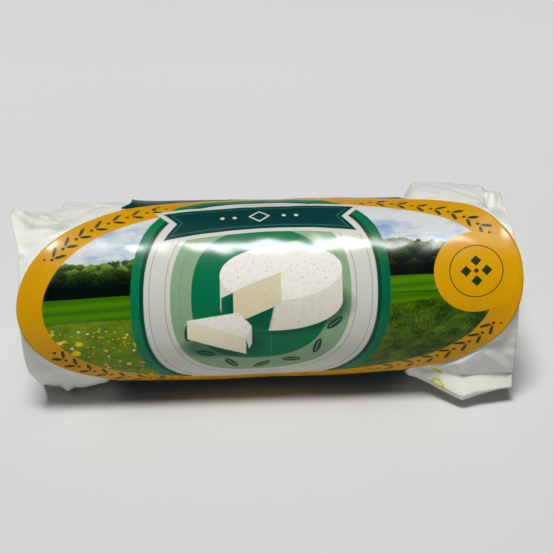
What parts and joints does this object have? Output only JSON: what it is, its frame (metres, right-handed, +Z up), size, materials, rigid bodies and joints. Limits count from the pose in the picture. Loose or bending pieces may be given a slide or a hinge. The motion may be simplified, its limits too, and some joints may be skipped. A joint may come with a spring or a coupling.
{
  "type": "wrapped soft cheese log in its shut pack",
  "caption": "Soft cheese log in its shut pack: crinkled white wrapping paper folded over both ends, with a glossy die-cut printed paper band round it.",
  "frame": {"origin": "middle of the underside, on the surface that the pack lies on", "axes": "+X along the log towards the end with the dog ear, +Y to the back, +Z up; the printed front faces -Y and 36 degrees upward"},
  "size_m": [0.1226, 0.0472, 0.0454],
  "materials": {
    "wrapping_paper": "satin",
    "printed_paper": "gloss"
  },
  "bodies": {
    "root": {"wrapped_log": "wrapping_paper", "printed_band": "printed_paper"}
  },
  "joints": []
}
